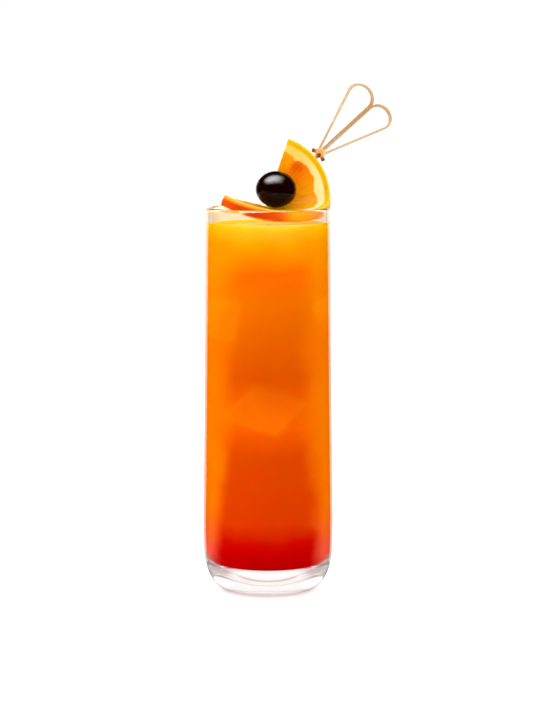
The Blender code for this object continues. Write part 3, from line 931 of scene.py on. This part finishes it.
def slice_column(core, reach, normal, angle):
    """One closed ring of (point, share, pulp, zest) round the slice's section at one angle."""
    length = reach.length
    thickness = SLICE_THICKNESS + SLICE_END_GROWTH * smooth(angle, FOLD_END, SLICE_SPAN)
    front = []
    back = []
    for ring in range(SLICE_RINGS + 1):
        share = ring / SLICE_RINGS
        pulp = pulp_mask(angle, share, length)
        zest = smooth(ZEST_WIDTH - length * (1.0 - share), -ZEST_FADE, ZEST_FADE)
        swell = PULP_BULGE * sin(pi * min(share * PULP_BULGE_RATE, 1.0))
        sag = flap_sag(angle, share)
        low = normal * (sag - pulp * (swell + vesicle_relief(angle, share, 0)))
        high = normal * (sag + thickness + pulp * (swell + vesicle_relief(angle, share, 1)))
        front.append((core + reach * share + low, share, pulp, zest))
        back.append((core + reach * share + high, share, pulp, zest))
    skin = []
    inner = []
    for row in range(1, SLICE_ROWS):
        share = row / SLICE_ROWS
        bulge = 1.0 + ZEST_BULGE / SLICE_RADIUS * sin(pi * share) ** ZEST_BULGE_POWER
        skin_share = 1.0 + SKIN_SHARE * share
        skin.append((core + reach * bulge + normal * (thickness * share), skin_share, 0.0, 1.0))
        inner.append((core + normal * (thickness * share), 0.0, 0.0, 0.0))
    return front + skin + back[::-1] + inner[::-1]


def cap_rows(column):
    """The cut end's grid of (point, share, pulp, zest), a row for each step through the thickness."""
    front = column[:SLICE_RINGS + 1]
    back = column[SLICE_RINGS + SLICE_ROWS:2 * SLICE_RINGS + SLICE_ROWS + 1][::-1]
    rows = []
    for row in range(SLICE_ROWS + 1):
        share = row / SLICE_ROWS
        rows.append([(low[0].lerp(high[0], share), *low[1:]) for low, high in zip(front, back)])
    return rows


def make_slice_mesh():
    core = slice_core()
    form = bmesh.new()
    layers = [form.verts.layers.float.new(name) for name in SLICE_LAYERS]

    def add(point, *values):
        vertex = form.verts.new(point)
        for layer, value in zip(layers, values):
            vertex[layer] = value
        return vertex

    columns = []
    ends = []
    for step, (reach, normal) in enumerate(slice_rays()):
        angle = SLICE_SPAN * step / SLICE_STEPS
        turn = angle / (2.0 * pi)
        column = slice_column(core, reach, normal, angle)
        columns.append([add(point, turn, *values) for point, *values in column])
        if step in (0, SLICE_STEPS):
            ends.append((turn, cap_rows(column)))
    for left, right in zip(columns, columns[1:]):
        for face in join_rings(form, left, right)[SLICE_RINGS:SLICE_RINGS + SLICE_ROWS]:
            face.material_index = 1
    for turn, rows in ends:
        grid = [[add(point, turn, *values) for point, *values in row] for row in rows]
        for low, high in zip(grid, grid[1:]):
            for ring in range(SLICE_RINGS):
                form.faces.new((low[ring], low[ring + 1], high[ring + 1], high[ring]))
    piece = finish_mesh("orange_slice_fine", form, slice_flesh_material(), slice_skin_material())
    turns, shares, pulps, zests = (take_values(piece.data, name) for name in SLICE_LAYERS)
    carry(piece.data, "polar", turns, shares)
    carry(piece.data, "layers", pulps, zests)
    return piece


def axis_frame(start, direction):
    """A matrix whose Z runs along a direction from a start, with X square to it and to the scene's Y."""
    along = direction.normalized()
    across = Vector((0.0, 1.0, 0.0)).cross(along).normalized()
    turned = Matrix((across, along.cross(across), along)).transposed()
    return Matrix.Translation(start) @ turned.to_4x4()


def make_rod(name, start, direction, length, radius, *materials):
    form = bmesh.new()
    place = axis_frame(start, direction) @ Matrix.Translation((0.0, 0.0, length / 2.0))
    size = {"radius1": radius, "radius2": radius, "depth": length, "segments": STICK_SIDES}
    bmesh.ops.create_cone(form, cap_ends=True, matrix=place, **size)
    return finish_mesh(name, form, *materials)


def make_ball(name, middle, size, *materials):
    form = bmesh.new()
    bmesh.ops.create_uvsphere(form, u_segments=CHERRY_SIDES, v_segments=CHERRY_RINGS, radius=0.5)
    bmesh.ops.scale(form, vec=size, verts=form.verts)
    bmesh.ops.translate(form, vec=middle, verts=form.verts)
    return finish_mesh(name, form, *materials)


def cut(piece, *cutters):
    """Cuts the cutters out of a piece for good and removes them."""
    for cutter in cutters:
        modifier = piece.modifiers.new(cutter.name, "BOOLEAN")
        modifier.operation = "DIFFERENCE"
        modifier.solver = "EXACT"
        modifier.object = cutter
    bpy.context.view_layer.update()
    solved = piece.evaluated_get(bpy.context.evaluated_depsgraph_get())
    mesh = bpy.data.meshes.new_from_object(solved)
    piece.modifiers.clear()
    piece.data = mesh
    for cutter in cutters:
        bpy.data.objects.remove(cutter, do_unlink=True)


def rim_cutter():
    """The glass's wall near the rim with a hair's gap, for the dent where the slice rests on it."""
    wide = WALL / 2.0 + GAP / 3.0
    middle = RIM_RADIUS - WALL / 2.0
    lip_height = GLASS_HEIGHT - WALL / 2.0
    low = GLASS_HEIGHT - RIM_DENT_REACH
    spread = outer_radius(low) - RIM_RADIUS
    outline = [(middle + spread + wide, low)]
    for step in range(LIP_STEPS + 1):
        angle = step / LIP_STEPS * pi
        outline.append((middle + wide * cos(angle), lip_height + wide * sin(angle)))
    outline.append((middle + spread - wide, low))
    return spin_outline("rim_cutter", outline)


def pick_cutter():
    return make_rod("pick_cutter", PICK_NECK, PICK_TOWARDS_TIP, STICK_LENGTH, STICK_RADIUS + GAP / 3.0)


def make_slice():
    piece = make_slice_mesh()
    size = CHERRY_HIGH - CHERRY_LOW + Vector((GAP, GAP, GAP)) / 2.0
    room = make_ball("cherry_room", (CHERRY_LOW + CHERRY_HIGH) / 2.0, size)
    cut(piece, rim_cutter(), room, pick_cutter())
    place_piece(piece, "orange_slice", "orange_slice")


def make_cherry():
    middle = (CHERRY_LOW + CHERRY_HIGH) / 2.0
    cherry = make_ball("cherry_fine", middle, CHERRY_HIGH - CHERRY_LOW, cherry_material())
    for vertex in cherry.data.vertices:
        away = vertex.co - middle
        uneven = noise.noise(away * CHERRY_DENT_RATE) * CHERRY_UNEVENNESS - CHERRY_UNEVENNESS / 2.0
        vertex.co += away.normalized() * uneven
    cut(cherry, pick_cutter())
    place_piece(cherry, "cherry", "cherry")


def teardrop(start, point_radius, loop_middle, loop_radius):
    """The line round a small circle and a larger one: two arcs, and the lines that touch both."""
    reach = loop_middle - start
    heading = atan2(reach.y, reach.x)
    touch = acos((loop_radius - point_radius) / reach.length)
    line = []
    for step in range(LOOP_SIDES + 1):
        angle = heading - (pi - touch) + 2.0 * (pi - touch) * step / LOOP_SIDES
        line.append(loop_middle + loop_radius * Vector((cos(angle), sin(angle))))
    small = []
    for step in range(POINT_SIDES + 1):
        angle = heading + (pi - touch) + 2.0 * touch * step / POINT_SIDES
        small.append(start + point_radius * Vector((cos(angle), sin(angle))))
    first, last = line[0], line[-1]
    line.extend(last.lerp(small[0], step / LEG_STEPS) for step in range(1, LEG_STEPS))
    line.extend(small)
    line.extend(small[-1].lerp(first, step / LEG_STEPS) for step in range(1, LEG_STEPS))
    return line


def strip_section():
    """A flat strip's rounded outline, as (through, across)."""
    points = []
    for step in range(STRIP_SIDES):
        angle = 2.0 * pi * step / STRIP_SIDES
        through = abs(cos(angle)) ** STRIP_SQUARENESS * (1 if cos(angle) >= 0 else -1)
        across = abs(sin(angle)) ** STRIP_SQUARENESS * (1 if sin(angle) >= 0 else -1)
        points.append((STRIP_THICKNESS / 2.0 * through, STRIP_WIDTH / 2.0 * across))
    return points


def eased_at(values, share):
    """The value at this share of a loop, eased between values at even steps."""
    spot = share * len(values)
    step = int(spot)
    low, high = values[step % len(values)], values[(step + 1) % len(values)]
    return low + (high - low) * smooth(spot - step, 0.0, 1.0)


def add_strip(form, line, place, twists, tones, layer):
    """Sweeps the strip's section along a closed flat line, turned about the line by its twists."""
    section = strip_section()
    rings = []
    for number, point in enumerate(line):
        before = line[number - 1]
        after = line[(number + 1) % len(line)]
        along = (after - before).normalized()
        out = Vector((along.y, -along.x))
        turn = radians(eased_at(twists, number / len(line)))
        ring = []
        for through, across in section:
            flat = through * cos(turn) - across * sin(turn)
            deep = through * sin(turn) + across * cos(turn)
            spot = point + out * flat
            ring.append(form.verts.new(place @ Vector((spot.x, deep, spot.y))))
            ring[-1][layer] = eased_at(tones, number / len(line))
        rings.append(ring)
    for low, high in zip(rings, rings[1:] + rings[:1]):
        join_rings(form, low, high)


def add_stick(form, layer):
    """The round stick from the neck to its tapered tip."""
    place = axis_frame(PICK_NECK, PICK_TOWARDS_TIP)
    stations = (
        (-KNOT_HALF_LENGTH / 2.0, STICK_RADIUS),
        (STICK_LENGTH - TIP_LENGTH, STICK_RADIUS),
        (STICK_LENGTH, TIP_RADIUS),
    )
    rings = []
    for height, radius in stations:
        turns = [2.0 * pi * side / STICK_SIDES for side in range(STICK_SIDES)]
        points = [Vector((radius * cos(turn), radius * sin(turn), height)) for turn in turns]
        rings.append([form.verts.new(place @ point) for point in points])
        for vertex in rings[-1]:
            vertex[layer] = STICK_PAINTED_SHADE
    for low, high in zip(rings, rings[1:]):
        join_rings(form, low, high)
    form.faces.new(rings[0])
    form.faces.new(rings[-1])


def make_pick(material):
    form = bmesh.new()
    layer = form.verts.layers.float.new("tone")
    add_stick(form, layer)
    place = axis_frame(PICK_NECK, PICK_TOWARDS_HEART)
    for start, middle, radius, twists, tones in LOOPS:
        line = teardrop(start, HEART_POINT_RADIUS, middle, radius)
        add_strip(form, line, place, twists, tones, layer)
    pick = finish_mesh("pick_fine", form, material)
    tones = take_values(pick.data, "tone")
    carry(pick.data, "tone", tones, [0.0] * len(tones))
    place_piece(pick, "bamboo", "pick")


def make_knot(material, dark):
    """The binding: a bead with the ends of the strips standing out of it."""
    place = axis_frame(PICK_NECK, PICK_TOWARDS_TIP)
    form = bmesh.new()
    bmesh.ops.create_uvsphere(form, u_segments=KNOT_SIDES, v_segments=KNOT_RINGS, radius=1.0)
    for vertex in form.verts:
        across, other, along = vertex.co
        wave = 1.0 + WINDING_DEPTH * cos(WINDINGS * pi * along + atan2(other, across))
        radius = KNOT_RADIUS * wave
        vertex.co = Vector((across * radius, other * radius, along * KNOT_HALF_LENGTH))
    bmesh.ops.transform(form, matrix=place, verts=form.verts)
    place_piece(finish_mesh("knot_fine", form, material), "bamboo", "pick_knot")
    for number, (turn, lean) in enumerate(STUB_TURNS_AND_LEANS):
        heading = place.to_3x3() @ Vector((sin(lean) * cos(turn), sin(lean) * sin(turn), cos(lean)))
        start = PICK_NECK + heading * STUB_ROOT
        name = f"knot_end_{number + 1}"
        place_piece(make_rod(name, start, heading, STUB_REACH - STUB_ROOT, STUB_RADIUS, dark), "bamboo")


def glow_material(name):
    """An emission shader alone, with its graph."""
    material = bpy.data.materials.new(name)
    material.use_nodes = True
    material.node_tree.nodes.clear()
    graph = Graph(material.node_tree)
    light = graph.node("ShaderNodeEmission", {"Strength": 0.0})
    graph.node("ShaderNodeOutputMaterial", {"Surface": light.outputs[0]})
    return material, graph, light


def studio_object(name, form, material):
    """Adds a part of the studio that only reflections see."""
    made = finish_mesh(name, form, material)
    for ray in ("camera", "diffuse", "transmission", "shadow"):
        setattr(made, f"visible_{ray}", False)


def make_soft_box():
    """A wide light overhead that fades towards its edges."""
    form = bmesh.new()
    bmesh.ops.create_grid(form, x_segments=1, y_segments=1, size=0.5)
    bmesh.ops.scale(form, vec=(*SOFT_BOX_SIZE, 1.0), verts=form.verts)
    bmesh.ops.translate(form, vec=SOFT_BOX_MIDDLE, verts=form.verts)
    material, graph, light = glow_material("soft_box")
    inputs = {0: graph.place(), 1: SOFT_BOX_MIDDLE}
    parts = graph.split(graph.node("ShaderNodeVectorMath", inputs, operation="SUBTRACT").outputs[0])
    strength = SOFT_BOX_STRENGTH
    for axis, size in enumerate(SOFT_BOX_SIZE):
        aside = graph.math("ABSOLUTE", parts[axis])
        fade = graph.map_range(aside, size / 2.0, size / 2.0 * SOFT_BOX_CORE, smooth=True)
        strength = graph.math("MULTIPLY", fade, strength)
    connect(graph, light, Strength=strength)
    studio_object("soft_box", form, material)


def make_dark_tent():
    """A black tent for clean reflections, open behind the drink."""
    form = bmesh.new()
    bmesh.ops.create_uvsphere(form, u_segments=TENT_SIDES, v_segments=TENT_SIDES // 2, radius=TENT_RADIUS)
    gone = []
    for face in form.faces:
        middle = face.calc_center_median().normalized()
        behind = abs(atan2(middle.x, middle.y)) < radians(TENT_OPENING / 2.0)
        if behind and abs(middle.z) < sin(radians(TENT_OPENING_HEIGHT)):
            gone.append(face)
    bmesh.ops.delete(form, geom=gone, context="FACES")
    bmesh.ops.translate(form, vec=(0.0, 0.0, GLASS_HEIGHT / 2.0), verts=form.verts)
    material, _, _ = glow_material("dark_tent")
    studio_object("dark_tent", form, material)


def make_floor():
    form = bmesh.new()
    bmesh.ops.create_grid(form, x_segments=1, y_segments=1, size=FLOOR_SIZE)
    bmesh.ops.translate(form, vec=(0.0, 0.0, -GAP), verts=form.verts)
    material, graph, shader = new_material("pale_floor", Roughness=0.9, Emission_Color=(*WHITE, 1.0))
    far = graph.node("ShaderNodeVectorMath", {0: graph.place()}, operation="LENGTH").outputs["Value"]
    fade = graph.map_range(far, *FLOOR_FADE, smooth=True)
    near = graph.mix(graph.noise(FLOOR_PATCH), *FLOOR_NEAR)
    glow = graph.map_range(fade, 0.0, 1.0, FLOOR_GLOW, 0.0)
    connect(graph, shader, Base_Color=graph.mix(fade, near, FLOOR_FAR), Emission_Strength=glow)
    floor = finish_mesh("floor", form, material)
    floor.visible_glossy = False


def make_world():
    """Soft white light from everywhere, most of it from both sides and a little behind."""
    world = bpy.data.worlds.new("soft_studio")
    bpy.context.scene.world = world
    world.use_nodes = True
    graph = Graph(world.node_tree)
    direction = graph.split(graph.node("ShaderNodeTexCoord").outputs["Generated"])
    plain = graph.map_range(direction[1], *FRONT_TO_BACK, FRONT_LIGHT, BACK_LIGHT, smooth=True)
    aside = graph.map_range(graph.math("ABSOLUTE", direction[0]), *SIDE_LIGHT_ASIDE, smooth=True)
    behind = graph.map_range(direction[1], *SIDE_LIGHT_BEHIND, 0.0, SIDE_LIGHT, smooth=True)
    strength = graph.math("ADD", plain, graph.math("MULTIPLY", aside, behind))
    background = world.node_tree.nodes["Background"]
    background.inputs["Color"].default_value = (*WHITE, 1.0)
    connect(graph, background, Strength=strength)


def make_camera():
    data = bpy.data.cameras.new("camera")
    data.lens = CAMERA_LENS
    data.clip_end = CAMERA_REACH
    camera = bpy.data.objects.new("camera", data)
    camera.location = CAMERA_PLACE
    camera.rotation_euler = (radians(90.0 - CAMERA_PITCH), 0.0, 0.0)
    bpy.context.scene.collection.objects.link(camera)
    bpy.context.scene.camera = camera


def main():
    make_camera()
    make_glass()
    make_drink()
    make_ice()
    make_slice()
    make_cherry()
    make_pick(bamboo_material())
    make_knot(knot_material(), stub_material())
    make_floor()
    make_world()
    make_soft_box()
    make_dark_tent()
    studio = bpy.context.scene
    studio.view_settings.view_transform = "Standard"
    studio.cycles.max_bounces = LIGHT_BOUNCES
    studio.cycles.transmission_bounces = LIGHT_BOUNCES
    studio.cycles.glossy_bounces = GLOSSY_BOUNCES


main()
